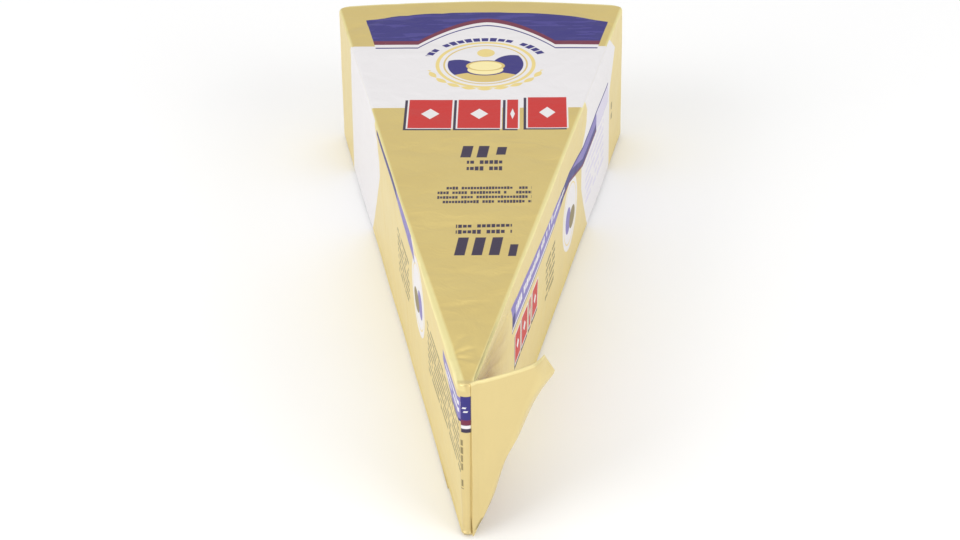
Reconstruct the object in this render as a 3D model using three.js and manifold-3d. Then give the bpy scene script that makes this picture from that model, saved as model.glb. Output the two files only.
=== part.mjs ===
// A wedge of soft-ripened cheese in its folded foil-paper wrapper, lying on its base as it is sold.
// Millimetres, +Z up. The point of the wedge faces -Y and its curved outer side faces +Y.
// The origin is on the base, in the middle of the wrapper's length and width.
import * as THREE from 'three';
import { mergeVertices } from 'three/addons/utils/BufferGeometryUtils.js';
import Module from 'manifold-3d';

const wasm = await Module();
wasm.setup();

// Driving dimensions of the cheese
const wheelRadius = 180;                              // the whole wheel that the wedge is cut from
const wedgeAngle = THREE.MathUtils.degToRad(21);      // between the two cut sides
const cheeseHeight = 31.5;
const noseRadius = 1;                                 // the point of the cheese, seen from above
const cornerRadius = 2;                               // the two rear corners, seen from above
const edgeRound = 0.8;                                // the edges along the top and the base

// Driving dimensions of the wrapper
const fitGap = 0.3;                                   // between the cheese and the sheet
const wrapperWall = 0.6;                              // stands in for the much thinner real sheet
const seamWidth = 1;                                  // where the folded ends meet under the base
const seamFrontMargin = 45;                           // from the wrapper's point to the seam
const seamRearMargin = 20;                            // from the seam to the wrapper's rear

// Driving dimensions of the fin of folded sheet at the point
const flapTurn = THREE.MathUtils.degToRad(32);        // its direction, turned from +X towards +Y
const flapThickness = 1;                              // two layers of sheet with air between them
const flapTopLength = 17;                             // along the top edge, from the point
const flapTipReach = 19.5;                            // the furthest corner, from the point
const flapTipDrop = 4.3;                              // of that corner below the top edge
const flapWaistReach = 7.5;                           // pulls the outer edge inwards
const flapWaistHeight = 13.9;
const flapGap = 0.3;                                  // between the fin and the wrapper's point

// Fineness of the round stretches
const noseSteps = 8;
const cornerSteps = 8;
const rearSteps = 24;
const edgeSteps = 3;
const waistSteps = 10;

// Values that follow from the sizes above
const halfAngle = wedgeAngle / 2;
const wrapperGrow = fitGap + wrapperWall;             // from the cheese to the wrapper's outside
const wrapperHeight = cheeseHeight + 2 * wrapperGrow;
const noseCentreY = noseRadius / Math.sin(halfAngle); // from the middle of the whole wheel
const wrapperFront = noseCentreY - noseRadius - wrapperGrow;
const wrapperRear = wheelRadius + wrapperGrow;

const solidOf = (geometry) => {
  const bare = geometry.clone();
  bare.deleteAttribute('normal');
  bare.deleteAttribute('uv');
  const merged = mergeVertices(bare);
  return new wasm.Manifold(new wasm.Mesh({
    numProp: 3,
    vertProperties: new Float32Array(merged.attributes.position.array),
    triVerts: new Uint32Array(merged.index.array),
  }));
};

const geometryOf = (solid) => {
  const mesh = solid.getMesh();
  const geometry = new THREE.BufferGeometry();
  geometry.setAttribute('position', new THREE.BufferAttribute(mesh.vertProperties, 3));
  geometry.setIndex(new THREE.BufferAttribute(mesh.triVerts, 1));
  geometry.computeVertexNormals();
  return geometry;
};

const arcPoints = (x, y, radius, from, to, steps) => (
  new THREE.EllipseCurve(x, y, radius, radius, from, to, false).getPoints(steps)
);

// The wedge seen from above, grown outwards on all sides, with the middle of the wheel at 0, 0
const wedgeOutline = (grow) => {
  const cornerReach = wheelRadius - cornerRadius;
  const cornerTurn = halfAngle - Math.asin(cornerRadius / cornerReach);
  const cornerX = cornerReach * Math.sin(cornerTurn);
  const cornerY = cornerReach * Math.cos(cornerTurn);
  const rightEnd = Math.PI / 2 - cornerTurn;
  const leftEnd = Math.PI / 2 + cornerTurn;
  const leftSide = Math.PI + halfAngle;
  const nose = arcPoints(0, noseCentreY, noseRadius + grow, leftSide, 2 * Math.PI - halfAngle, noseSteps);
  const right = arcPoints(cornerX, cornerY, cornerRadius + grow, -halfAngle, rightEnd, cornerSteps);
  const rear = arcPoints(0, 0, wheelRadius + grow, rightEnd, leftEnd, rearSteps).slice(1, -1);
  const left = arcPoints(-cornerX, cornerY, cornerRadius + grow, leftEnd, leftSide, cornerSteps);
  return new THREE.Shape([...nose, ...right, ...rear, ...left]);
};

// A wedge grown outwards on all sides, base and top included, with its edges rounded
const wedgeGeometry = (grow) => {
  const edge = Math.min(edgeRound, 0.9 * noseRadius) + grow;
  const geometry = new THREE.ExtrudeGeometry(wedgeOutline(grow), {
    depth: cheeseHeight + 2 * grow - 2 * edge,
    bevelThickness: edge,
    bevelSize: edge,
    bevelOffset: -edge,
    bevelSegments: edgeSteps,
  });
  return geometry.translate(0, 0, wrapperGrow - grow + edge);
};

// A square-edged wedge that passes right through the height of the wrapper, to trim the fin with
const trimmingWedge = (grow) => {
  const geometry = new THREE.ExtrudeGeometry(wedgeOutline(grow), {
    depth: 2 * wrapperHeight,
    bevelEnabled: false,
  });
  return geometry.translate(0, 0, -wrapperHeight / 2);
};

const seamGeometry = () => {
  const front = wrapperFront + seamFrontMargin;
  const rear = wrapperRear - seamRearMargin;
  return new THREE.BoxGeometry(seamWidth, rear - front, wrapperGrow)
    .translate(0, (front + rear) / 2, wrapperGrow / 2 - fitGap / 2);
};

const wrapperGeometry = () => {
  const outside = solidOf(wedgeGeometry(wrapperGrow));
  const inside = solidOf(wedgeGeometry(fitGap));
  return geometryOf(outside.subtract(inside).subtract(solidOf(seamGeometry())));
};

// The fin's outline: along it from the point, and up from the base
const flapOutline = () => {
  const tip = new THREE.Vector2(flapTipReach, wrapperHeight - flapTipDrop);
  const waist = new THREE.Vector2(flapWaistReach, flapWaistHeight);
  const foot = new THREE.Vector2(0, 0);
  const outerEdge = new THREE.QuadraticBezierCurve(foot, waist, tip).getPoints(waistSteps);
  const topEdge = [new THREE.Vector2(flapTopLength, wrapperHeight), new THREE.Vector2(0, wrapperHeight)];
  return new THREE.Shape([...outerEdge, ...topEdge]);
};

// The fin leaves the wrapper's point as a tangent, so its front runs on from the rounded point
const flapGeometry = () => {
  const noseOutside = noseRadius + wrapperGrow;
  const plate = new THREE.ExtrudeGeometry(flapOutline(), { depth: flapThickness, bevelEnabled: false })
    .rotateX(Math.PI / 2)
    .translate(0, flapThickness - noseOutside, 0)
    .rotateZ(flapTurn)
    .translate(0, noseCentreY, 0);
  return geometryOf(solidOf(plate).subtract(solidOf(trimmingWedge(wrapperGrow + flapGap))));
};

const namedMesh = (name, geometry, finish) => {
  const mesh = new THREE.Mesh(geometry, new THREE.MeshStandardMaterial(finish));
  mesh.name = name;
  return mesh;
};

const cheeseFinish = { color: 0xf0e2b6, roughness: 0.6, metalness: 0 };
const foilPaperFinish = { color: 0xd8c584, roughness: 0.42, metalness: 0.3 };

const group = new THREE.Group();
group.position.y = -(wrapperFront + wrapperRear) / 2;
group.add(namedMesh('cheese_wedge', wedgeGeometry(0), cheeseFinish));
group.add(namedMesh('wrapper', wrapperGeometry(), foilPaperFinish));
group.add(namedMesh('nose_flap', flapGeometry(), foilPaperFinish));

export default group;
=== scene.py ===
import math
import bpy
import numpy as np
from mathutils import Matrix, Vector, noise


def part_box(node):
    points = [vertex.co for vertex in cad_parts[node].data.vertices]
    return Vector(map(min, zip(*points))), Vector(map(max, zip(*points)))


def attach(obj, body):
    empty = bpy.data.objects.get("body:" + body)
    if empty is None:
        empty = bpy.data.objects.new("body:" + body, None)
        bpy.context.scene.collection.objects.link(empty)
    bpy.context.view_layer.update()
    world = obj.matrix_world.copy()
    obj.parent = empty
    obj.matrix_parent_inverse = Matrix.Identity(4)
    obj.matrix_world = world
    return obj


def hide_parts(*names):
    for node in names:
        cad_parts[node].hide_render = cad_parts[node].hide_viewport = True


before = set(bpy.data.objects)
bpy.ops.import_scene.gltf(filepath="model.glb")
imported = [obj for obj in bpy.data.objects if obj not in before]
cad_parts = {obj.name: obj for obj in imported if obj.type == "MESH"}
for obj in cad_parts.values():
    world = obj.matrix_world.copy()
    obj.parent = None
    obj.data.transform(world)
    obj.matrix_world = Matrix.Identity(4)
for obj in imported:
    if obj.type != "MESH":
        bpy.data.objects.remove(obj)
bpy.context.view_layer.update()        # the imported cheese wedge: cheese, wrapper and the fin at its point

mm = 0.001
print("frame loaded:", sorted(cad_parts))

for leftover in ("Cube", "Light", "Camera"):
    if leftover in bpy.data.objects:
        bpy.data.objects.remove(bpy.data.objects[leftover])


# The outside of the folded sheet from above, in millimetres. Its length and height come from the frame,
# and its width follows from the angle.
wedge = {
    "halfAngle": math.radians(10.5),   # from the middle line to each cut side
    "noseRadius": 1.9,
    "cornerRadius": 2.9,
    "wheelRadius": 180.9,
}
wrapLow, wrapHigh = (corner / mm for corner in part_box("wrapper"))
height = wrapHigh.z
halfAngle = wedge["halfAngle"]
sinHalf = math.sin(halfAngle)
cosHalf = math.cos(halfAngle)
noseCentre = np.array([0, wrapLow.y + wedge["noseRadius"]])
apexY = wrapLow.y + wedge["noseRadius"] - wedge["noseRadius"] / sinHalf      # where the two sides would meet
wheelY = wrapHigh.y - wedge["wheelRadius"]
wheelCentre = np.array([0, wheelY])
cornerReach = wedge["wheelRadius"] - wedge["cornerRadius"]
cornerTurn = halfAngle - math.asin((wedge["cornerRadius"] - (wheelY - apexY) * sinHalf) / cornerReach)


def deselectAll():
    if bpy.context.object and bpy.context.object.mode != "OBJECT":
        bpy.ops.object.mode_set(mode="OBJECT")
    bpy.ops.object.select_all(action="DESELECT")


def placesOf(piece):
    spots = np.empty(len(piece.data.vertices) * 3)
    piece.data.vertices.foreach_get("co", spots)
    return spots.reshape(-1, 3)


def setPlaces(piece, spots):
    piece.data.vertices.foreach_set("co", spots.astype(np.float32).ravel())
    piece.data.update()


# Two fine grids, one above the other, bridged all round: a closed block, 1 by 1 by 1, of even quads
def gridBlock(name, across, along, deep):
    deselectAll()
    bpy.ops.mesh.primitive_grid_add(x_subdivisions=across, y_subdivisions=along, size=1,
                                    location=(0, 0, 0.5))
    piece = bpy.context.object
    piece.name = piece.data.name = name
    bpy.ops.object.transform_apply(location=True, rotation=False, scale=False)
    bpy.ops.object.mode_set(mode="EDIT")
    bpy.ops.mesh.select_all(action="SELECT")
    bpy.ops.mesh.duplicate()
    bpy.ops.transform.translate(value=(0, 0, -1))
    bpy.ops.mesh.flip_normals()
    bpy.ops.mesh.select_all(action="SELECT")
    bpy.ops.mesh.region_to_loop()
    bpy.ops.mesh.bridge_edge_loops(number_cuts=deep - 1)
    faceOutwards()
    return piece


def faceOutwards():
    bpy.ops.object.mode_set(mode="EDIT")
    bpy.ops.mesh.select_all(action="SELECT")
    bpy.ops.mesh.normals_make_consistent(inside=False)
    bpy.ops.object.mode_set(mode="OBJECT")


def smoothStep(value, start, end):
    share = np.clip((value - start) / (end - start), 0, 1)
    return share * share * (3 - 2 * share)


# Moves evenly spaced shares towards both ends
def crowd(share, amount):
    return (1 - amount) * share + amount * (0.5 - 0.5 * np.cos(math.pi * share))


def noiseAt(spots, size, offset=0.0):
    shift = Vector((offset, offset * 0.7, offset * 0.3))
    return np.array([noise.noise(Vector(spot) / size + shift) for spot in spots])


def arc(centre, radius, angle):
    return np.stack([centre[0] + radius * np.cos(angle), centre[1] + radius * np.sin(angle)], -1)


# The rear of the wedge from above, from the end of its left side to the end of its right one
def rearOutline(share):
    radius = wedge["cornerRadius"]
    cornerSweep = math.pi / 2 + halfAngle - cornerTurn
    lengths = [radius * cornerSweep, 2 * wedge["wheelRadius"] * cornerTurn, radius * cornerSweep]
    along = share * sum(lengths)
    leftCentre = wheelCentre + cornerReach * np.array([-math.sin(cornerTurn), math.cos(cornerTurn)])
    rightCentre = leftCentre * [-1, 1]
    leftPart = arc(leftCentre, radius, math.pi + halfAngle - along / radius)
    rearPart = arc(wheelCentre, wedge["wheelRadius"],
                   math.pi / 2 + cornerTurn - (along - lengths[0]) / wedge["wheelRadius"])
    rightPart = arc(rightCentre, radius,
                    math.pi / 2 - cornerTurn - (along - lengths[0] - lengths[1]) / radius)
    onLeft = (along < lengths[0])[:, None]
    onRear = (along < lengths[0] + lengths[1])[:, None]
    return np.where(onLeft, leftPart, np.where(onRear, rearPart, rightPart))


# Blends the nose, the rear and the two straight sides into one patch
def planPlace(u, v):
    front = arc(noseCentre, wedge["noseRadius"], math.pi + halfAngle + u * (math.pi - 2 * halfAngle))
    rear = rearOutline(u)
    noseLeft, noseRight = arc(noseCentre, wedge["noseRadius"], np.array([math.pi + halfAngle, -halfAngle]))
    rearLeft, rearRight = rearOutline(np.array([0.0, 1.0]))
    u, v = u[:, None], v[:, None]
    left = noseLeft + v * (rearLeft - noseLeft)
    right = noseRight + v * (rearRight - noseRight)
    corners = ((1 - u) * (1 - v) * noseLeft + u * (1 - v) * noseRight
               + (1 - u) * v * rearLeft + u * v * rearRight)
    return (1 - v) * front + v * rear + (1 - u) * left + u * right - corners


# How far inside the outline a place is, and which way is out
def outward(plan):
    x, y = plan[:, 0], plan[:, 1]
    count = len(plan)
    inside = [(y - apexY) * sinHalf - x * cosHalf, (y - apexY) * sinHalf + x * cosHalf]
    ways = [np.tile([cosHalf, -sinHalf], (count, 1)), np.tile([-cosHalf, -sinHalf], (count, 1))]
    fromWheel = plan - wheelCentre
    far = np.linalg.norm(fromWheel, axis=1)
    inside.append(wedge["wheelRadius"] - far)
    ways.append(fromWheel / far[:, None])
    inside, ways = np.array(inside), np.array(ways)
    nearest = inside.argmin(0)
    depth = inside[nearest, np.arange(count)]
    way = ways[nearest, np.arange(count)]
    fromNose = plan - noseCentre
    inNose = (fromNose @ [sinHalf, cosHalf] < 0) & (fromNose @ [-sinHalf, cosHalf] < 0)
    rounds = [(fromNose, inNose, wedge["noseRadius"])]
    for side in (-1, 1):
        centre = wheelCentre + cornerReach * np.array([side * math.sin(cornerTurn), math.cos(cornerTurn)])
        fromCorner = plan - centre
        inCorner = ((fromCorner @ [side * sinHalf, cosHalf] > 0)
                    & (fromCorner @ [side * math.cos(cornerTurn), -math.sin(cornerTurn)] > 0))
        rounds.append((fromCorner, inCorner, wedge["cornerRadius"]))
    for fromCentre, chosen, radius in rounds:
        far = np.maximum(np.linalg.norm(fromCentre, axis=1), 1e-6)
        depth = np.where(chosen, radius - far, depth)
        way = np.where(chosen[:, None], fromCentre / far[:, None], way)
    return depth, way


# One sheet folded tight round the cheese
wrapper = {
    "across": 48, "along": 260, "deep": 54,       # quads
    "crowdAlong": 0.4, "crowdUp": 0.5,            # how much the quads gather towards the edges
    "leftEdge": 2.4, "leftEdgeRear": 1.0, "leftEdgeTo": -35,       # rounding of the edges
    "rightEdge": 0.9, "rearEdge": 1.5, "noseEdge": 0.6, "noseEdgeFade": (1, 8), "baseEdge": 1.0,
    "slack": 0.34, "slackSize": 24.0,             # slow hollows in the sheet
    "ripple": 0.07, "rippleSize": 5.0,
    "rearSeat": 0.34, "baseSeat": 0.40,           # room for the sheet's ends, folded over these faces
    # how far a place faces the rear, the base or a panel's side, from not at all to wholly
    "rearFacing": (0.6, 0.97), "baseFacing": (0.3, 0.9), "panelFacing": (0.5, 0.9),
    "rearEdgeFacing": (0.2, 0.8),
    "roomShare": 0.9,                             # an edge is rounded by this share of its room at most
    "restingShare": 0.85,                         # of the slack, pressed flat under the base
    "lean": 0.6, "leanFade": (15, 60),            # the sides lean in towards the base, less at the rear
    "mostInwards": 0.86,                          # keeps the sheet clear of the cheese
    "creaseStart": 0.08, "creaseSpan": 0.9, "creaseEase": 0.6,     # a crease dies away at its ends
    # creases: panel, start, end, depth, half width
    "creases": [
        ("top", (-3.6, -77.8), (1.6, -74.6), 0.20, 0.55),
        ("top", (-3.6, -77.8), (1.4, -79.4), 0.16, 0.50),
        ("top", (-3.4, -77.4), (-0.6, -70.0), 0.14, 0.60),
        ("top", (2.4, -79.0), (0.4, -69.0), 0.12, 0.70),
        ("top", (-9.0, -45.0), (7.0, -47.5), 0.12, 1.2),
        ("top", (-6.0, -60.0), (5.0, -57.0), 0.12, 1.0),
        ("top", (-12.0, -28.0), (11.0, -24.0), 0.10, 1.4),
        ("top", (-16.0, 8.0), (14.0, 4.0), 0.08, 1.6),
        ("top", (-31.0, 70.0), (-17.0, 84.0), 0.26, 1.1),
        ("top", (31.0, 72.0), (19.0, 84.5), 0.22, 1.1),
        ("top", (-20.0, 86.0), (-14.0, 74.0), 0.14, 1.3),
        ("top", (-8.0, 87.0), (-10.0, 77.0), 0.16, 1.1),
        ("top", (6.0, 87.0), (9.0, 76.0), 0.12, 1.2),
        ("right", (2.0, 31.5), (46.0, 27.5), 0.42, 0.9),
        ("right", (2.0, 30.5), (40.0, 20.5), 0.50, 1.0),
        ("right", (2.0, 29.0), (26.0, 13.0), 0.45, 1.0),
        ("right", (2.0, 26.0), (16.0, 8.0), 0.35, 1.0),
        ("right", (22.0, 29.0), (60.0, 26.0), 0.18, 1.2),
        ("right", (120.0, 30.0), (150.0, 22.0), 0.12, 1.6),
        ("left", (6.0, 5.0), (40.0, 2.5), 0.16, 1.0),
        ("left", (60.0, 31.0), (120.0, 29.5), 0.18, 1.4),
        ("left", (120.0, 26.0), (160.0, 30.0), 0.12, 1.6),
    ],
}


def creaseDepth(spots, panels):
    depth = np.zeros(len(spots))
    for panel, start, end, deep, half in wrapper["creases"]:
        flat, near = panels[panel]
        line = np.array(end) - start
        share = np.clip((flat - start) @ line / (line @ line), 0, 1)
        away = np.linalg.norm(flat - (start + share[:, None] * line), axis=1)
        share = np.clip(share * wrapper["creaseSpan"] + wrapper["creaseStart"], 0, 1)
        fade = np.sin(math.pi * share) ** wrapper["creaseEase"]
        depth += near * deep * fade * np.exp(-(away / half) ** 2)
    return depth


# How wide the top edge is rounded: left, right, rear and at the narrow nose
def topRounding(plan, way):
    toLeft = (1 - way[:, 0]) / 2
    leftEdge = wrapper["leftEdge"] + smoothStep(plan[:, 1], wrapLow.y, wrapper["leftEdgeTo"]) * (
        wrapper["leftEdgeRear"] - wrapper["leftEdge"])
    radius = wrapper["rightEdge"] + toLeft * (leftEdge - wrapper["rightEdge"])
    radius += smoothStep(way[:, 1], *wrapper["rearEdgeFacing"]) * (wrapper["rearEdge"] - radius)
    start, end = wrapper["noseEdgeFade"]
    fromNose = smoothStep(plan[:, 1], wrapLow.y + start, wrapLow.y + end)
    return wrapper["noseEdge"] + fromNose * (radius - wrapper["noseEdge"])


def foldWrapper():
    piece = gridBlock("foilWrapper", wrapper["across"], wrapper["along"], wrapper["deep"])
    unit = placesOf(piece) + 0.5
    u = 0.5 + 0.5 * np.sin(math.pi * (unit[:, 0] - 0.5))
    v = crowd(unit[:, 1], wrapper["crowdAlong"])
    z = crowd(unit[:, 2], wrapper["crowdUp"]) * height
    plan = planPlace(u, v)
    depth, way = outward(plan)
    level = (unit[:, 2] > 0.9999) | (unit[:, 2] < 0.0001)
    depth = np.where(level, np.maximum(depth, 0), 0)

    upper = z > height / 2
    radius = np.where(upper, topRounding(plan, way), wrapper["baseEdge"])
    room = np.maximum(wedge["noseRadius"], (plan[:, 1] - apexY) * sinHalf)
    radius = np.minimum(radius, wrapper["roomShare"] * room)
    fromEdge = np.where(level, depth, np.where(upper, height - z, z))
    bend = math.pi / 4 * np.clip(1 - fromEdge / radius, 0, 1)
    turn = np.where(level, bend, math.pi / 2 - bend)
    near = fromEdge < radius
    inset = np.where(near, radius * (1 - np.sin(turn)), depth)
    drop = np.where(near, radius * (1 - np.cos(turn)), np.where(level, 0, fromEdge))
    plan = plan - way * (inset - depth)[:, None]
    z = np.where(upper, height - drop, drop)
    normal = np.column_stack([way * np.sin(turn)[:, None], np.where(upper, 1, -1) * np.cos(turn)])

    # the sheet's slack, which only ever goes inwards
    spots = np.column_stack([plan, z])
    along = np.abs(plan[:, 0]) * sinHalf + (plan[:, 1] - wheelY) * cosHalf
    panels = {
        "top": (plan, upper * smoothStep(normal[:, 2], *wrapper["panelFacing"])),
        "left": (np.column_stack([along, z]), smoothStep(-normal[:, 0], *wrapper["panelFacing"])),
        "right": (np.column_stack([along, z]), smoothStep(normal[:, 0], *wrapper["panelFacing"])),
    }
    slack = wrapper["slack"] * (0.5 + 0.5 * noiseAt(spots, wrapper["slackSize"], 3.0))
    ripple = wrapper["ripple"] * (0.5 + 0.5 * noiseAt(spots, wrapper["rippleSize"], 9.0))
    resting = smoothStep(-normal[:, 2], *wrapper["baseFacing"])
    lean = wrapper["lean"] * (1 - z / height) * (1 - np.abs(normal[:, 2]))
    lean *= 1 - smoothStep(plan[:, 1], *wrapper["leanFade"])
    inwards = np.clip(slack + ripple + lean + creaseDepth(spots, panels), 0, wrapper["mostInwards"])
    inwards *= 1 - wrapper["restingShare"] * resting
    inwards += wrapper["baseSeat"] * resting
    inwards += wrapper["rearSeat"] * smoothStep(normal[:, 1], *wrapper["rearFacing"])
    setPlaces(piece, (spots - normal * inwards[:, None]) * mm)
    return piece


# The ends of the sheet, folded over the rear face and under the base, one layer on another
tucks = {
    "steps": 26, "crowd": 0.5, "thickness": 0.13, "edgeInset": 1.1,
    "lift": 0.05, "liftFrom": 0.75, "waverSize": 9.0,      # the free edge lifts in places
    # name, face, depth of its outer side, and corners: outer side, free edge, free edge, outer side.
    # On the rear they are a place along the curve and a height, on the base x and y.
    "layers": [
        ("rearTuckLeft", "rear", 0.10, [(-30.6, 0.9), (-3.0, 1.0), (-27.6, 31.6), (-30.6, 31.6)]),
        ("rearTuckRight", "rear", 0.10, [(30.6, 0.9), (4.0, 1.0), (28.0, 31.6), (30.6, 31.6)]),
        ("baseFlapLeft", "base", 0.25, [(-4.2, -72.0), (1.2, -66.0), (4.0, 72.0), (-29.6, 74.0)]),
        ("baseFlapRight", "base", 0.13, [(4.2, -72.0), (-0.9, -68.0), (-2.6, 71.0), (29.6, 74.0)]),
        ("baseFlapRear", "base", 0.01, [(-27.5, 87.0), (-16.0, 57.0), (14.5, 55.0), (27.5, 87.0)]),
        ("baseFlapNose", "base", 0.01, [(-0.8, -87.2), (-2.6, -63.0), (2.2, -61.0), (0.8, -87.2)]),
    ],
}


def foldTuck(name, face, depth, corners):
    piece = gridBlock(name, tucks["steps"], tucks["steps"], 1)
    unit = placesOf(piece) + 0.5
    u, v = crowd(unit[:, 0], tucks["crowd"])[:, None], unit[:, 1][:, None]
    a, b, c, d = (np.array(corner) for corner in corners)
    flat = (1 - u) * (1 - v) * a + u * (1 - v) * b + u * v * c + (1 - u) * v * d
    free = smoothStep(u[:, 0], tucks["liftFrom"], 1.0)
    waver = 0.5 + 0.5 * noiseAt(np.column_stack([flat, np.zeros(len(flat))]), tucks["waverSize"], depth)
    deep = depth + tucks["thickness"] * (1 - unit[:, 2])
    deep -= tucks["lift"] * free * waver * (depth > tucks["lift"])
    reach = wedge["wheelRadius"]
    if face == "rear":
        turn = flat[:, 0] / reach
        far = reach - deep
        spots = np.column_stack([far * np.sin(turn), wheelY + far * np.cos(turn), flat[:, 1]])
    else:
        rearLimit = wheelY + np.sqrt((reach - tucks["edgeInset"]) ** 2 - flat[:, 0] ** 2)
        spots = np.column_stack([flat[:, 0], np.minimum(flat[:, 1], rearLimit), deep])
    setPlaces(piece, spots * mm)
    faceOutwards()
    return piece


# The sheet's spare corner, pinched flat at the point
fin = {
    "across": 36, "along": 52, "deep": 4,          # quads
    "turn": math.radians(32),                      # its direction, from +X towards +Y
    "outerEdge": [(0.3, 0.1), (2.2, 1.5), (6.2, 4.1), (8.2, 5.3), (13.4, 7.9), (15.3, 9.1), (18.1, 11.5),
                  (23.5, 14.4), (26.2, 16.3), (29.0, 19.2)],     # height, reach from the point
    "topReach": 16.9, "topHeight": 33.05,
    "thickness": 0.85, "edgeThickness": 0.25, "slimShare": 0.25, "slimHeight": 9,
    "bulge": 0.45, "groove": 0.25, "grooveReach": 1.4, "grooveHalf": 0.8,
    "foldFrom": 0.78,                              # the share of the reach where its strip bends back
    "foldBack": 1.9, "foldEase": 1.3, "foldHeight": 20,
    "waver": 0.16, "waverSize": 6.0, "rolledRise": 0.15, "crowd": 0.2,
    "inset": 0.04,                                 # its front lies this far behind the point's outline
}


def foldFin():
    piece = gridBlock("noseFin", fin["across"], fin["along"], fin["deep"])
    unit = placesOf(piece) + 0.5
    share = crowd(unit[:, 0], fin["crowd"])
    z = fin["outerEdge"][0][0] + unit[:, 1] * (fin["topHeight"] - fin["outerEdge"][0][0])
    heights = [spot[0] for spot in fin["outerEdge"]] + [fin["topHeight"]]
    reaches = [spot[1] for spot in fin["outerEdge"]] + [fin["topReach"]]
    reach = share * np.interp(z, heights, reaches)
    bent = np.clip((share - fin["foldFrom"]) / (1 - fin["foldFrom"]), 0, 1) ** fin["foldEase"]
    forward = (fin["bulge"] * np.sin(math.pi * share) * z / height
               - fin["foldBack"] * bent * smoothStep(z, 0, fin["foldHeight"])
               - fin["groove"] * np.exp(-((reach - fin["grooveReach"]) / fin["grooveHalf"]) ** 2))
    slim = np.minimum(smoothStep(1 - share, 0, fin["slimShare"]), smoothStep(z, 0, fin["slimHeight"]))
    thickness = fin["edgeThickness"] + slim * (fin["thickness"] - fin["edgeThickness"])
    layer = 1 - unit[:, 2]                         # 0 on the front, 1 on the back
    rolled = np.sin(math.pi * layer) * (unit[:, 1] > 0.9999)
    waver = fin["waver"] * noiseAt(np.column_stack([reach, np.zeros(len(reach)), z]), fin["waverSize"], 5.0)
    across = fin["inset"] - wedge["noseRadius"] - forward + layer * thickness + waver
    ahead = np.array([math.cos(fin["turn"]), math.sin(fin["turn"])])
    aside = np.array([-ahead[1], ahead[0]])
    plan = noseCentre + reach[:, None] * ahead + across[:, None] * aside
    setPlaces(piece, np.column_stack([plan, z + fin["rolledRise"] * rolled]) * mm)
    return piece


foil = foldWrapper()
layers = [foldTuck(*layer) for layer in tucks["layers"]]
deselectAll()
for layer in layers:
    layer.select_set(True)
foil.select_set(True)
bpy.context.view_layer.objects.active = foil
bpy.ops.object.join()
flap = foldFin()
for piece, node, slot in ((foil, "wrapper", "printed_foil_paper"), (flap, "nose_flap", "plain_foil_paper")):
    deselectAll()
    piece.select_set(True)
    bpy.context.view_layer.objects.active = piece
    bpy.ops.object.shade_smooth_by_angle(angle=math.radians(50))
    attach(piece, "root")
    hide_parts(node)
print("wrapper and fin folded")


# A screen colour's six hex digits, as the linear values that the nodes take
def colour(code):
    parts = [int(code[spot:spot + 2], 16) / 255 for spot in (0, 2, 4)]
    return [part / 12.92 if part <= 0.04045 else ((part + 0.055) / 1.055) ** 2.4 for part in parts] + [1]


def newMaterial(name):
    material = bpy.data.materials.new(name)
    material.use_nodes = True
    return material, material.node_tree, material.node_tree.nodes["Principled BSDF"]


def feed(socket, value):
    if isinstance(value, Field):
        value.tree.links.new(value.socket, socket)
    else:
        socket.default_value = value


# A value in a material's nodes, on which plain arithmetic works. Where it stands for a shape, it is a
# distance in millimetres, below zero inside: a & b is where both are, a | b where either is, and ~a is
# all around a.
class Field:
    def __init__(self, tree, socket):
        self.tree = tree
        self.socket = socket

    def calc(self, operation, *others, clamp=False):
        node = self.tree.nodes.new("ShaderNodeMath")
        node.operation = operation
        node.use_clamp = clamp
        for socket, value in zip(node.inputs, (self, *others)):
            feed(socket, value)
        return Field(self.tree, node.outputs[0])

    def __add__(self, other):
        return self.calc("ADD", other)

    def __sub__(self, other):
        return self.calc("SUBTRACT", other)

    def __rsub__(self, other):
        return self.calc("MULTIPLY_ADD", -1, other)

    def __mul__(self, other):
        return self.calc("MULTIPLY", other)

    def __truediv__(self, other):
        return self.calc("DIVIDE", other)

    def __and__(self, other):
        return self.calc("MAXIMUM", other)

    def __or__(self, other):
        return self.calc("MINIMUM", other)

    def __invert__(self):
        return self.calc("MULTIPLY", -1)

    def __abs__(self):
        return self.calc("ABSOLUTE")

    def clamped(self):
        return self.calc("ADD", 0, clamp=True)

    def atLeast(self, limit):
        return self.calc("MAXIMUM", limit)

    def above(self, limit):
        return limit - self

    def below(self, limit):
        return self - limit

    # 1 inside a shape and 0 outside it
    def inked(self, soft=0.12):
        return self.calc("MULTIPLY_ADD", -1 / soft, 0.5, clamp=True)


# 0 at the start, 1 at the end and even between them
def ramp(value, start, end):
    return ((value - start) / (end - start)).clamped()


def anyOf(shapes):
    whole = shapes[0]
    for shape in shapes[1:]:
        whole = whole | shape
    return whole


def box(x, y, centre, half):
    return (abs(x - centre[0]) - half[0]) & (abs(y - centre[1]) - half[1])


def oval(x, y, centre, half):
    across = (x - centre[0]) / half[0]
    upward = (y - centre[1]) / half[1]
    return ((across * across + upward * upward).calc("SQRT") - 1) * min(half)


def diamond(x, y, centre, half):
    return (abs(x - centre[0]) / half[0] + abs(y - centre[1]) / half[1] - 1) * min(half)


def slantedBar(x, y, centre, half, slant=0.1):
    return box(x - (y - centre[1]) * slant, y, centre, half)


def mixColour(share, under, over):
    node = share.tree.nodes.new("ShaderNodeMix")
    node.data_type = "RGBA"
    feed(node.inputs["Factor"], share)
    feed(node.inputs["A"], under)
    feed(node.inputs["B"], over)
    return Field(share.tree, node.outputs["Result"])


def noiseNode(vector, scale, detail=3.0, roughness=0.5, distortion=0.0):
    node = vector.tree.nodes.new("ShaderNodeTexNoise")
    feed(node.inputs["Vector"], vector)
    node.inputs["Scale"].default_value = scale
    node.inputs["Detail"].default_value = detail
    node.inputs["Roughness"].default_value = roughness
    node.inputs["Distortion"].default_value = distortion
    return Field(vector.tree, node.outputs["Fac"])


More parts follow.
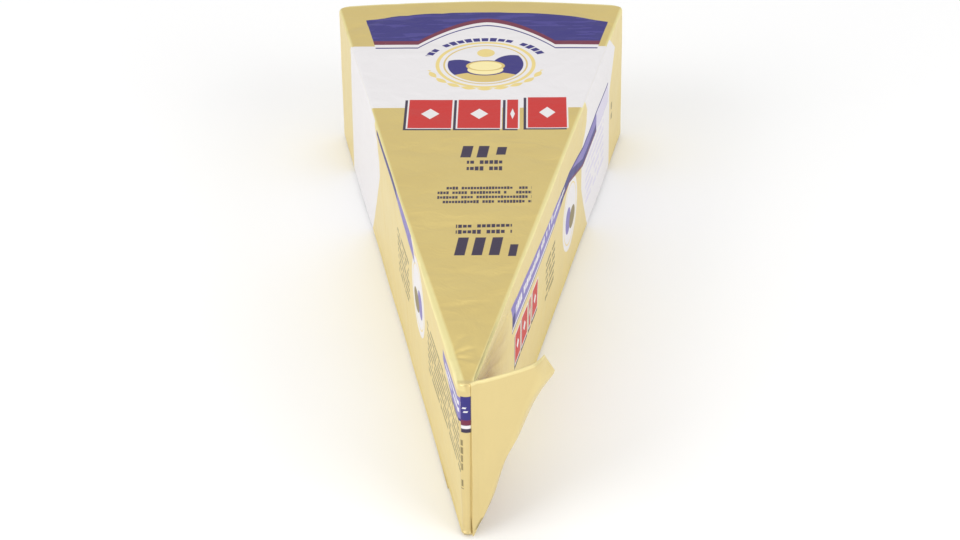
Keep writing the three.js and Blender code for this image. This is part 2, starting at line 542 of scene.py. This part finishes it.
def bumpNode(rise, strength, distance, under=None):
    node = rise.tree.nodes.new("ShaderNodeBump")
    node.inputs["Strength"].default_value = strength
    node.inputs["Distance"].default_value = distance
    feed(node.inputs["Height"], rise)
    if under is not None:
        feed(node.inputs["Normal"], under)
    return Field(rise.tree, node.outputs["Normal"])


def joined(x, y, z=0.0):
    node = x.tree.nodes.new("ShaderNodeCombineXYZ")
    for socket, value in zip(node.inputs, (x, y, z)):
        feed(socket, value)
    return Field(x.tree, node.outputs[0])


# The place on the piece, and the same as x, y and z in millimetres
def placesIn(tree):
    spot = Field(tree, tree.nodes.new("ShaderNodeTexCoord").outputs["Object"])
    split = tree.nodes.new("ShaderNodeSeparateXYZ")
    feed(split.inputs[0], spot)
    x, y, z = (Field(tree, output) / mm for output in split.outputs)
    return spot, x, y, z


def fromWheel(x, y):
    return (x * x + (y - wheelY) * (y - wheelY)).calc("SQRT")


# Of these colours, the darker fin gold is painted shade, the pale rim gold a painted highlight, the brown
# painted shade behind the fin and the blue sheen a painted reflection; the pale gold is print on the badge
# and painted light on the sides and the fin
foilLook = {
    "gold": "E3CD83", "goldDeep": "D4BB72", "goldPale": "F0E2A6", "shadedGold": "D3BE87", "highlightGold": "F7EBA8",
    "pocketShade": "A2762A", "white": "E2DFE0", "blue": "2A2275", "blueSheen": "3D3586", "lilac": "7C72B4",
    "paleLilac": "D2CDDF", "darkRed": "6E1D3C", "red": "C2221E", "ink": "30233F", "olive": "85774C",
    "goldRoughness": 0.38, "inkRoughness": 0.5, "goldMetal": 0.5,
    "cloudScale": 90, "cloudShare": 0.7,
    # a fine tooth and soft dents: scale, detail, distortion, strength, depth in metres
    "crinkles": [(900, 2, 0.0, 0.08, 0.0003), (190, 2, 0.8, 0.40, 0.0005), (60, 2, 0.5, 0.60, 0.0012)],
}


def goldGround(spot):
    cloud = noiseNode(spot, foilLook["cloudScale"])
    return mixColour(cloud * foilLook["cloudShare"], colour(foilLook["gold"]), colour(foilLook["goldDeep"]))


def crinkle(spot):
    sheet = None
    for scale, detail, distortion, strength, depth in foilLook["crinkles"]:
        sheet = bumpNode(noiseNode(spot, scale, detail, 0.5, distortion), strength, depth, sheet)
    return sheet


# The fin's painted light: painted shade all over, painted highlights on the bent-back strip and on the top
# edge
finLook = {
    "cloudScale": 40, "shadeBase": 0.6, "shadeInClouds": 0.3,
    "widthAtFoot": 1.0, "widthPerHeight": 0.58,            # roughly, to find the strip that is bent back
    "stripSoft": 1.5, "highlightShare": 0.15,
    "topEdge": 0.3, "topEdgeSoft": 0.3, "topEdgeShare": 0.7,
    # dark marks on the outer edge: middle reach, middle z, half sizes, slant
    "darkMarks": [((5.3, 6.6), (0.2, 1.1), 0.6), ((2.5, 2.6), (0.3, 1.0), 0.7)],
    "markSoft": 0.4, "markShare": 0.7,
}


def plainFoil():
    material, tree, shader = newMaterial("plainGoldFoil")
    spot, x, y, z = placesIn(tree)
    look = finLook
    reach = x / math.cos(fin["turn"])
    width = z * look["widthPerHeight"] + look["widthAtFoot"]
    # painted highlight on the strip bent back at the outer edge, and the whole fin a little paler
    strip = ((reach - width * fin["foldFrom"]) / look["stripSoft"]).clamped()
    strip = strip * look["highlightShare"] + look["highlightShare"]
    # painted highlight on the rolled top edge
    topEdge = z.above(fin["topHeight"] - look["topEdge"]).inked(look["topEdgeSoft"]) * look["topEdgeShare"]
    # painted shade: the fin is darkened towards the shaded gold, more in some places than others
    shadeAmount = noiseNode(spot, look["cloudScale"], 2) * look["shadeInClouds"] + look["shadeBase"]
    shade = mixColour(shadeAmount, goldGround(spot), colour(foilLook["shadedGold"]))
    # both painted highlights in pale gold
    shade = mixColour(strip.calc("MAXIMUM", topEdge), shade, colour(foilLook["goldPale"]))
    darkMarks = anyOf([slantedBar(reach, z, *darkMark) for darkMark in look["darkMarks"]])
    marked = darkMarks.inked(look["markSoft"]) * look["markShare"]
    shade = mixColour(marked, shade, colour(foilLook["olive"]))
    feed(shader.inputs["Base Color"], shade)
    feed(shader.inputs["Normal"], crinkle(spot))
    shader.inputs["Metallic"].default_value = foilLook["goldMetal"]
    shader.inputs["Roughness"].default_value = foilLook["goldRoughness"]
    return material


# The print is drawn in millimetres: x and y on the top, along and z on the sides
topPrint = {
    "middle": 1.7,                                  # it sits a little to the right of the wedge
    "bandRadius": 173.2, "bandSag": 0.00012, "bandFoot": 62.3,     # the blue band across the rear
    "archHalf": 15.6, "archRise": 12.9, "archPower": 1.7,
    "leftMargin": 5.6, "rightMargin": 2.3,
    "redLine": 2.1, "thinLine": -1.9, "thinHalf": 0.3,
    "streakX": 0.09, "streakY": 0.55, "streakFrom": 0.56, "streakEdge": 12.0,
    "panelRear": 61.4, "panelFront": 28.8,
    # the four red blocks of the title: middle x, middle y, half width, half height
    "title": [(-10.0, 25.7, 4.7, 7.2), (0.6, 25.7, 4.6, 7.2), (7.8, 25.7, 1.2, 7.2), (15.3, 26.4, 4.2, 7.6)],
    "titleShadow": (-0.5, -0.6), "titleKeyline": 0.42,
    # dark rows under it: middle x, middle y, half width, half height, letter, line
    "rows": [
        (2.1, 0.7, 3.7, 3.0, 1.0, 3.0),
        (2.3, -13.0, 9.6, 4.1, 0.62, 2.05),
        (2.4, -27.8, 5.6, 2.6, 0.95, 2.6),
    ],
    # bold marks: middle x, middle y, half width, half height
    "marks": [(-1.7, 7.2, 1.1, 2.7), (1.7, 7.2, 1.1, 2.7), (5.6, 7.6, 1.0, 1.8), (-1.9, -35.2, 1.05, 3.7),
              (1.5, -35.2, 1.05, 3.7), (4.9, -35.2, 1.05, 3.7), (8.3, -36.9, 0.8, 2.4)],
}


# In shares of a letter's width and a line's height
strokeShape = {"halfWidth": 0.4, "halfHeight": 0.2, "taller": 0.14, "gaps": 0.16}


# Rows of short strokes with gaps between them, where a pack has its small print
def dashes(x, y, centre, half, letter, line):
    column = x / letter
    row = (y - (centre[1] - half[1])) / line
    random = x.tree.nodes.new("ShaderNodeTexWhiteNoise")
    random.noise_dimensions = "2D"
    feed(random.inputs["Vector"], joined(column.calc("FLOOR"), row.calc("FLOOR")))
    chance = Field(x.tree, random.outputs["Value"])
    aside = abs(column.calc("FRACT") - 0.5) - strokeShape["halfWidth"]
    upward = abs(row.calc("FRACT") - 0.5) - (chance * strokeShape["taller"] + strokeShape["halfHeight"])
    gap = chance.calc("LESS_THAN", strokeShape["gaps"]) * (2 * letter)
    return ((aside * letter & upward * line) + gap) & box(x, y, centre, half)


def rowsOf(x, y, rows, ink):
    return [(dashes(x, y, (mx, my), (hx, hy), letter, line), ink) for mx, my, hx, hy, letter, line in rows]


# The diamond's size in shares of its block's, and the white line's width in shares of the shadow's
blockShape = {"diamondWide": 0.42, "diamondHigh": 0.36, "whiteLine": 0.8}


# Red blocks with a white diamond in each, a white keyline and a dark shadow
def titleBlocks(x, y, blocks, keyline, shadow):
    solid = anyOf([box(x, y, (mx, my), (hx, hy)) for mx, my, hx, hy in blocks])
    under = anyOf([box(x, y, (mx + shadow[0], my + shadow[1]), (hx, hy)) for mx, my, hx, hy in blocks])
    wide, high = blockShape["diamondWide"], blockShape["diamondHigh"]
    hearts = anyOf([diamond(x, y, (mx, my), (wide * hx, high * hy)) for mx, my, hx, hy in blocks])
    whiteLine = solid - blockShape["whiteLine"] * keyline
    return [(under - keyline, "ink"), (whiteLine, "white"), (solid, "red"), (hearts, "white")]


badge = {
    "centre": (1.6, 51.4), "half": (10.8, 11.9), "frame": 2.3,
    # each of these: middle, half sizes
    "leftHill": ((-4.6, 49.6), (4.2, 4.4)), "rightHill": ((7.6, 50.4), (4.6, 6.0)),
    "sun": ((1.6, 57.6), (2.0, 2.2)), "field": ((1.6, 40.0), (11.0, 7.4)),
    "cheeseTop": ((1.6, 50.6), (4.0, 2.5)), "cheeseFoot": ((1.6, 48.6), (4.0, 2.6)),
    "outline": 0.45, "cheeseRim": 0.22,
    "ringHalf": 0.42, "innerRing": 1.5, "innerRingHalf": 0.2,
    "strokeRadius": 13.7, "strokeHalf": 1.5, "strokeLetter": 1.9, "strokeLine": 3.0, "strokesAbove": 4.6,
    "leafRadius": 12.9, "leafTurns": 11.0, "leafHalf": 0.75, "leavesBelow": -3.0,
}


# A round cheese between two hills, in a double ring, with strokes above it and leaves below
def badgeInks(x, y):
    aside = x - badge["centre"][0]
    upward = y - badge["centre"][1]
    disc = oval(x, y, badge["centre"], badge["half"])
    picture = disc + badge["frame"]
    hills = oval(x, y, *badge["leftHill"]) | oval(x, y, *badge["rightHill"])
    cheeseTop = oval(x, y, *badge["cheeseTop"])
    cheese = cheeseTop | oval(x, y, *badge["cheeseFoot"])
    turn = upward.calc("ARCTAN2", aside)
    away = (aside * aside + upward * upward).calc("SQRT")
    radius = badge["strokeRadius"]
    strokes = dashes(turn * radius, away, (0, radius), (2 * math.pi * radius, badge["strokeHalf"]),
                     badge["strokeLetter"], badge["strokeLine"])
    leafWidth = abs((turn * badge["leafTurns"]).calc("SINE")) * badge["leafHalf"]
    leaves = abs(away - badge["leafRadius"]) - leafWidth
    return [
        (hills & picture, "blue"),
        (oval(x, y, *badge["sun"]) & picture, "gold"),
        (oval(x, y, *badge["field"]) & picture, "goldDeep"),
        (cheese - badge["outline"], "blue"),
        (cheese, "goldPale"),
        (abs(cheeseTop) - badge["cheeseRim"], "goldDeep"),
        (abs(disc) - badge["ringHalf"], "gold"),
        (abs(disc + badge["innerRing"]) - badge["innerRingHalf"], "goldDeep"),
        (strokes & upward.above(badge["strokesAbove"]), "blue"),
        (leaves & upward.below(badge["leavesBelow"]), "gold"),
    ]


def topInks(x, y):
    art = topPrint
    slope = (abs(x - art["middle"]) / art["archHalf"]).calc("POWER", art["archPower"])
    overArch = y - art["bandFoot"] - (art["archRise"] - slope * art["archRise"]).atLeast(0)
    toSides = (y - apexY) * -sinHalf
    rightMargin = toSides + x * cosHalf + art["rightMargin"]
    leftMargin = toSides - x * cosHalf + art["leftMargin"]
    rearEdge = fromWheel(x, y) + abs(x).calc("POWER", 3) * art["bandSag"]
    within = rearEdge.below(art["bandRadius"]) & rightMargin & leftMargin
    band = within & ~overArch
    # painted reflection: lighter streaks of sheen across the blue band
    cloud = noiseNode(joined(x * art["streakX"], y * art["streakY"]), 1.0)
    sheenStreaks = (cloud - art["streakFrom"]) * -art["streakEdge"]
    inks = [
        (y.below(art["panelRear"]) & y.above(art["panelFront"]), "white"),
        (overArch & within & y.above(art["panelFront"]), "white"),
        (band, "blue"),
        (band & sheenStreaks, "blueSheen"),
        (band & overArch.below(art["redLine"]), "darkRed"),
        (within & (abs(overArch - art["thinLine"]) - art["thinHalf"]), "blue"),
    ]
    inks += badgeInks(x, y)
    inks += titleBlocks(x, y, art["title"], art["titleKeyline"], art["titleShadow"])
    inks += rowsOf(x, y, art["rows"], "ink")
    inks.append((anyOf([slantedBar(x, y, (mx, my), (hx, hy)) for mx, my, hx, hy in art["marks"]]), "ink"))
    return inks


# On a side, each row is: middle along, middle z, half length, half height, letter, line
sidePrint = {
    "right": {
        "whiteRear": 160.0, "swellFrom": 20.0, "topCornerCut": 209.5, "topCornerSlope": 1.5,
        "whiteFront": 122.5, "frontKnee": 13.5, "frontSlope": 0.65,
        "upperKnee": 23.5, "upperSlope": 1.6, "upperMost": 6.0, "tipKnee": 30.0, "tipSlope": 0.8,
        "medal": (108.5, 14.6), "medalHalf": (8.8, 8.2),
        # the four red blocks: middle along, middle z, half length, half height
        "title": [(48.4, 16.6, 2.7, 3.2), (55.5, 16.6, 2.9, 3.2), (61.1, 16.6, 0.9, 3.2),
                  (66.6, 16.6, 2.8, 3.2)],
        "titleKeyline": 0.5, "titleShadow": (-0.3, -0.5),
        "rows": [(84.5, 13.6, 5.6, 4.9, 1.0, 1.6), (163.5, 13.5, 0.9, 2.6, 1.0, 2.6)],
        "faintRows": [(140.0, 12.5, 12.0, 6.4, 1.3, 1.9)],
    },
    "left": {
        "whiteRear": 157.0, "rearSlope": 0.08,
        "whiteFront": 111.0, "frontKnee": 22.5, "frontSlope": 0.83,
        "upperKnee": 26.0, "upperSlope": 0.85, "upperMost": 6.2,
        "medal": (55.0, 23.4), "medalHalf": (8.4, 8.2),
        "rows": [(24.0, 19.5, 19.0, 6.0, 1.1, 1.5), (76.0, 19.0, 8.0, 5.5, 1.0, 1.6)],
        "faintRows": [],
    },
}
medalMarks = {
    "rim": 2.0, "ring": 1.4, "ringHalf": 0.15,
    # a round mark in each of these inks: place from the badge's middle, half sizes
    "lilac": ((-2.4, -0.6), (3.0, 3.0)), "olive": ((2.6, -2.0), (3.4, 2.4)),
}


def medalInks(along, z, centre, half):
    medal = oval(along, z, centre, half)
    inside = medal + medalMarks["rim"]
    inks = [(medal, "white")]
    for ink in ("lilac", "olive"):
        aside, size = medalMarks[ink]
        middle = (centre[0] + aside[0], centre[1] + aside[1])
        inks.append((oval(along, z, middle, size) & inside, ink))
    inks.append((abs(medal + medalMarks["ring"]) - medalMarks["ringHalf"], "gold"))
    return inks


# The white block of a side, its round badge and its small print
def sideInks(name, along, z):
    art = sidePrint[name]
    rise = ((z - art["upperKnee"]).atLeast(0) * art["upperSlope"]).calc("MINIMUM", art["upperMost"])
    front = (art["frontKnee"] - z).atLeast(0) * art["frontSlope"] + rise + art["whiteFront"]
    if name == "right":
        front = front - (z - art["tipKnee"]).atLeast(0) * art["tipSlope"]
        rear = (z - art["swellFrom"]).atLeast(0) + art["whiteRear"]
        rear = rear.calc("MINIMUM", z * -art["topCornerSlope"] + art["topCornerCut"])
    else:
        rear = (height - z) * art["rearSlope"] + art["whiteRear"]
    inks = [((front - along) & (along - rear), "white")]
    inks += medalInks(along, z, art["medal"], art["medalHalf"])
    inks += rowsOf(along, z, art["rows"], "olive")
    inks += rowsOf(along, z, art["faintRows"], "paleLilac")
    return inks


# The band along the right side: level in front, then it falls behind the badge and gets wider
rightBand = {
    "front": 42.3, "rear": 158.0,
    "top": 27.5, "topFall": 2.0, "topFallFrom": 60.0, "topFallTo": 100.0,
    "foot": 21.9, "footRise": 0.9, "footRiseFrom": 88.0, "footRiseTo": 100.0,
    "dropFrom": 107.0, "dropTo": 124.0, "topDrop": 2.2, "footDrop": 4.4,
    "darkFrom": 96.0, "darkDrop": 3.0, "tipTo": 45.5, "tipTop": 25.4, "paleFrom": 142.0,
    "linesFrom": 100.0, "lineWidth": 0.5, "footLinesTo": 88.0, "whiteLine": 0.9, "blueLine": 0.3,
    "strokes": [(66.0, 25.2, 20.0, 1.3, 1.5, 2.6), (94.0, 24.4, 7.0, 0.8, 1.5, 1.6)],
}


def rightBandInks(along, z):
    art = rightBand
    drop = ramp(along, art["dropFrom"], art["dropTo"])
    fall = ramp(along, art["topFallFrom"], art["topFallTo"]) * art["topFall"]
    ceiling = art["top"] - fall - drop * art["topDrop"]
    rise = ramp(along, art["footRiseFrom"], art["footRiseTo"]) * art["footRise"]
    foot = rise + art["foot"] - drop * art["footDrop"]
    band = (z - ceiling) & (foot - z) & along.below(art["rear"]) & along.above(art["front"])
    dark = ceiling - drop * art["darkDrop"]
    lined = band & along.above(art["linesFrom"])
    footLines = band & along.below(art["footLinesTo"])
    inks = [
        (band, "lilac"),
        (band & along.above(art["darkFrom"]) & (z - dark), "blue"),
        (band & along.below(art["tipTo"]) & z.below(art["tipTop"]), "blue"),
        (band & along.above(art["paleFrom"]), "paleLilac"),
        (lined & z.above(ceiling - art["lineWidth"]), "blue"),
        (lined & along.below(art["paleFrom"]) & z.below(foot + art["lineWidth"]), "darkRed"),
        (footLines & z.below(foot + art["whiteLine"]), "white"),
        (footLines & z.below(foot + art["blueLine"]), "blue"),
    ]
    inks += [(strokes & band, ink) for strokes, ink in rowsOf(along, z, art["strokes"], "white")]
    side = sidePrint["right"]
    return inks + titleBlocks(along, z, side["title"], side["titleKeyline"], side["titleShadow"])


# The band at the top of the left side, down to its slanted tip
leftBand = {
    "foot": 25.9, "footSlope": 0.05, "top": 32.6, "rear": 113.0, "darkFrom": 84.0,
    "front": 21.0, "frontSlope": 1.3, "tipInset": 1.4, "tipHalf": 0.7, "tipFoot": 27.6,
}


def leftBandInks(along, z):
    art = leftBand
    front = z * art["frontSlope"] + art["front"] - along
    upper = z.below(art["top"])
    band = (along * art["footSlope"] + art["foot"] - z) & upper & along.below(art["rear"]) & front
    tip = abs(front - art["tipInset"]) - art["tipHalf"]
    return [
        (band, "lilac"),
        (band & along.above(art["darkFrom"]), "blue"),
        (tip & z.above(art["tipFoot"]) & upper, "white"),
    ]


# The end of the band, which goes round the point: a tail on the left side and a block on the point
pointPrint = {
    "tailTop": 30.3, "tailFoot": 25.2, "tailRear": 22.0, "tailSlope": 0.28, "tailRise": 22.0,
    "tailSide": -0.95, "tailLine": 0.5,
    "tailStrokes": [(11.0, 28.2, 8.0, 1.5, 1.5, 1.5)], "strokesSide": -1.0,
    "blockTop": 30.6, "blockFoot": 22.9, "blockHalf": 0.98, "blockReach": 8.0,
    "blockLine": 24.1, "blockLineHalf": 0.35, "redFrom": 24.5, "blueFrom": 25.6,
    "bars": [((-0.35, 28.2), (0.35, 0.16), 0.5), ((-0.1, 27.4), (0.4, 0.16), 0.5)],
    "smallPrint": [(15.8, -0.9, 5.4, 0.35, 1.8, 0.7)], "smallPrintReach": 5.5,
}


def pointInks(x, along, z):
    art = pointPrint
    slope = along * art["tailSlope"] + art["tailRise"] - z
    tail = z.below(art["tailTop"]) & z.above(art["tailFoot"]) & along.below(art["tailRear"]) & slope
    tail = tail & x.below(art["tailSide"])
    block = z.below(art["blockTop"]) & z.above(art["blockFoot"]) & abs(x) - art["blockHalf"]
    block = block & along.below(art["blockReach"])
    strokes = [(rows & x.below(art["strokesSide"]), ink)
               for rows, ink in rowsOf(along, z, art["tailStrokes"], "white")]
    smallPrint = [(rows & along.below(art["smallPrintReach"]), ink)
                  for rows, ink in rowsOf(z, x, art["smallPrint"], "olive")]
    return [
        (tail, "lilac"),
        *strokes,
        (tail & z.below(art["tailFoot"] + art["tailLine"]), "blue"),
        (block, "ink"),
        (block & abs(z - art["blockLine"]) - art["blockLineHalf"], "white"),
        (block & z.above(art["redFrom"]), "darkRed"),
        (block & z.above(art["blueFrom"]), "blue"),
        (anyOf([slantedBar(x, z, *bar) for bar in art["bars"]]), "white"),
        *smallPrint,
    ]


pocketLook = {
    "fanHeight": 33.5, "fanBack": 0.5, "foldCount": 11.0, "foldStretch": 0.04,
    "sideFrom": 1.5,                               # only on the right side, off the point
    "deepFrom": 9.0, "deepTo": 2.0, "shadeFrom": 40.0, "fadeTo": 8.0, "foldsFrom": 42.0,
    "shadeTop": 32.3, "shadeFull": 27.3, "shadeShare": 0.85,
    "contrast": 3.2, "paler": 0.5, "bumpStrength": 0.9, "bumpDepth": 0.0022,
}


# Behind the fin the sheet is gathered in folds that run out from the point, and painted shade darkens it to
# brown there, lighter and darker along the folds.
# Gives the folds, how much painted shade it gets and how deep the folds are
def pocket(x, along, z):
    look = pocketLook
    turn = (look["fanHeight"] - z).calc("ARCTAN2", along + look["fanBack"])
    folds = noiseNode(joined(turn * look["foldCount"], along * look["foldStretch"]), 1.0, 2)
    onSide = x.calc("GREATER_THAN", look["sideFrom"])
    deep = ramp(along, look["deepFrom"], look["deepTo"])
    lower = ramp(along, look["shadeFrom"], look["fadeTo"]) * ramp(z, look["shadeTop"], look["shadeFull"])
    pocketShade = deep.calc("MAXIMUM", lower * look["shadeShare"]) * onSide
    return folds, pocketShade, ramp(along, look["foldsFrom"], look["fadeTo"]) * onSide


# Painted highlight where the sheet turns over the top edges and the rear edge, weaker at the point.
# The table also holds the painted light on the sides and the painted shade at the point
rim = {
    "leftWidth": 0.65, "leftGrowth": 0.9, "growFrom": -15.0, "growTo": -75.0, "rightWidth": 0.75,
    "rearWidth": 1.7, "rearDrop": 0.9, "soft": 0.5, "share": 0.95,
    # painted light on the sides, with the softness of the sides' border
    "offTopSoft": 0.8, "sideLight": 0.3,
    # painted shade at the point, and how much the painted highlight is weakened there
    "pointReach": 5.5, "pointHalf": 1.6, "pointShare": 0.75, "pointLess": 0.7,
}


def edgeHighlight(x, y, z, inset, pointed):
    leftWidth = ramp(y, rim["growFrom"], rim["growTo"]) * rim["leftGrowth"] + rim["leftWidth"]
    rightPart = x.calc("GREATER_THAN", 0) * rim["rightWidth"]
    overEdge = ((height - z) & inset) - (leftWidth * x.calc("LESS_THAN", 0) + rightPart)
    rearEdge = fromWheel(x, y).above(wedge["wheelRadius"] - rim["rearWidth"])
    overRear = (height - z) - rim["rearDrop"] & rearEdge
    return (overEdge | overRear).inked(rim["soft"]) * rim["share"] * (1.0 - pointed * rim["pointLess"])


def printedFoil():
    material, tree, shader = newMaterial("printedGoldFoil")
    spot, x, y, z = placesIn(tree)
    along = abs(x) * sinHalf + (y - wheelY) * cosHalf
    inset = (y - apexY) * sinHalf - abs(x) * cosHalf
    onTop = height - z - inset
    offTop = ~onTop
    beside = offTop.inked(rim["offTopSoft"])
    pointed = (along.below(rim["pointReach"]) & abs(x) - rim["pointHalf"]).inked(rim["offTopSoft"])
    # painted light: the sides are mixed towards pale gold, so they are lighter than the top
    shade = mixColour(beside * rim["sideLight"], goldGround(spot), colour(foilLook["goldPale"]))
    # painted shade: the point's front is darkened towards the fin's shaded gold
    shade = mixColour(pointed * rim["pointShare"], shade, colour(foilLook["shadedGold"]))
    folds, pocketShade, gathered = pocket(x, along, z)
    # painted shade in the pocket behind the fin, lighter and darker along the folds
    pocketShadeShare = pocketShade * beside * (folds * pocketLook["contrast"] - pocketLook["paler"])
    shade = mixColour(pocketShadeShare.clamped(), shade, colour(foilLook["pocketShade"]))
    # painted highlight along the top edges and the rear edge
    shade = mixColour(edgeHighlight(x, y, z, inset, pointed), shade, colour(foilLook["highlightGold"]))

    leftInks = sideInks("left", along, z) + leftBandInks(along, z)
    rightInks = sideInks("right", along, z) + rightBandInks(along, z)
    inks = [(shape & offTop & x, ink) for shape, ink in leftInks]
    inks += [(shape & offTop & ~x, ink) for shape, ink in rightInks]
    inks += [(shape & offTop, ink) for shape, ink in pointInks(x, along, z)]
    inks += [(shape & onTop, ink) for shape, ink in topInks(x, y)]
    cover = None
    for shape, ink in inks:
        share = shape.inked()
        shade = mixColour(share, shade, colour(foilLook[ink]))
        cover = share if cover is None else cover.calc("MAXIMUM", share)
    rougher = foilLook["inkRoughness"] - foilLook["goldRoughness"]
    foldBump = bumpNode(folds * gathered * beside, pocketLook["bumpStrength"], pocketLook["bumpDepth"],
                        crinkle(spot))
    feed(shader.inputs["Base Color"], shade)
    feed(shader.inputs["Metallic"], foilLook["goldMetal"] - cover * foilLook["goldMetal"])
    feed(shader.inputs["Roughness"], cover * rougher + foilLook["goldRoughness"])
    feed(shader.inputs["Normal"], foldBump)
    print("printed foil:", len(tree.nodes), "nodes")
    return material


cheeseLook = {
    "rind": "F1EEE4", "rindShade": "DDD3B8", "paste": "EBDCA2", "pasteShade": "DFC987",
    "rindDepth": 1.2, "rindWaver": 1.6, "rindSoft": 0.5, "roughness": 0.62,
    "bloomScale": 260, "bloomDetail": 4, "bloomRoughness": 0.6, "pasteScale": 120, "toothScale": 1400,
    "bloomBump": (0.5, 0.0006), "toothBump": (0.3, 0.0002),        # strength, depth in metres
    "glowShare": 0.1, "glowDepth": 0.003,
}


# White bloomy rind on the top, the base and the rear, and cream paste on the two cut sides
def rindAndPaste():
    material, tree, shader = newMaterial("softRipenedCheese")
    spot, x, y, z = placesIn(tree)
    look = cheeseLook
    low, high = (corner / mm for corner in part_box("cheese_wedge"))
    depth = (z - low.z) | (high.z - z) | (high.y - wheelY - fromWheel(x, y))
    bloomy = noiseNode(spot, look["bloomScale"], look["bloomDetail"], look["bloomRoughness"])
    rind = (depth + (bloomy - 0.5) * look["rindWaver"] - look["rindDepth"]).inked(look["rindSoft"])
    paste = mixColour(noiseNode(spot, look["pasteScale"]), colour(look["paste"]), colour(look["pasteShade"]))
    bloom = mixColour(bloomy, colour(look["rindShade"]), colour(look["rind"]))
    tooth = bumpNode(noiseNode(spot, look["toothScale"], 2), *look["toothBump"])
    feed(shader.inputs["Base Color"], mixColour(rind, paste, bloom))
    feed(shader.inputs["Normal"], bumpNode(bloomy, *look["bloomBump"], tooth))
    shader.inputs["Roughness"].default_value = look["roughness"]
    shader.inputs["Subsurface Weight"].default_value = look["glowShare"]
    shader.inputs["Subsurface Scale"].default_value = look["glowDepth"]
    return material


foil.data.materials.append(printedFoil())
flap.data.materials.append(plainFoil())
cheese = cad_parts["cheese_wedge"]
cheese.data.materials.clear()
cheese.data.materials.append(rindAndPaste())


# Angles, millimetres from the middle of the piece, and the lens for a sensor of this width
camera = {
    "azimuth": math.radians(1.3), "elevation": math.radians(28.55), "roll": math.radians(-0.79),
    "distance": 586.4, "right": 0.98, "up": -7.07, "lens": 104.3, "sensor": 36,
}


def addCamera():
    turn, rise = camera["azimuth"], camera["elevation"]
    back = Vector((math.sin(turn) * math.cos(rise), -math.cos(turn) * math.cos(rise), math.sin(rise)))
    right = (-back).cross(Vector((0, 0, 1))).normalized()
    up = back.cross(right)
    tilted = math.cos(camera["roll"]) * right + math.sin(camera["roll"]) * up
    upright = -math.sin(camera["roll"]) * right + math.cos(camera["roll"]) * up
    place = (back * camera["distance"] + tilted * camera["right"] + upright * camera["up"]
             + Vector((0, 0, height / 2))) * mm
    deselectAll()
    bpy.ops.object.camera_add()
    view = bpy.context.object
    view.name = "camera"
    view.data.lens = camera["lens"]
    view.data.sensor_width = camera["sensor"]
    view.data.clip_start = 0.01
    view.matrix_world = Matrix.Translation(place) @ Matrix((tilted, upright, back)).transposed().to_4x4()
    bpy.context.scene.camera = view


studio = {
    # name, place in metres, size in metres, power in watts
    "lights": [
        ("leftSoftbox", (-0.75, -0.55, 0.50), 0.7, 5.0),
        ("rightSoftbox", (0.75, -0.65, 0.45), 0.7, 4.6),
        ("topSoftbox", (0.0, 0.25, 0.95), 0.8, 2.0),
    ],
    "aim": (0, 0, 0.015), "ambient": 0.62,
    "floor": "FBFBFB", "floorSize": 8, "floorBelow": 0.0001, "floorRoughness": 0.8,
}


def addStudio():
    for name, place, size, power in studio["lights"]:
        deselectAll()
        bpy.ops.object.light_add(type="AREA", location=place)
        light = bpy.context.object
        light.name = name
        light.data.shape = "SQUARE"
        light.data.size = size
        light.data.energy = power
        light.rotation_euler = (Vector(studio["aim"]) - Vector(place)).to_track_quat("-Z", "Y").to_euler()
    world = bpy.data.worlds.new("paleRoom")
    world.use_nodes = True
    world.node_tree.nodes["Background"].inputs["Color"].default_value = (1, 1, 1, 1)
    world.node_tree.nodes["Background"].inputs["Strength"].default_value = studio["ambient"]
    bpy.context.scene.world = world
    deselectAll()
    bpy.ops.mesh.primitive_plane_add(size=studio["floorSize"], location=(0, 0, -studio["floorBelow"]))
    floor = bpy.context.object
    floor.name = "floor"
    material, _, shader = newMaterial("paleFloor")
    shader.inputs["Base Color"].default_value = colour(studio["floor"])
    shader.inputs["Roughness"].default_value = studio["floorRoughness"]
    floor.data.materials.append(material)


addCamera()
addStudio()
bpy.context.scene.view_settings.view_transform = "Standard"
print("camera, lights and floor set")
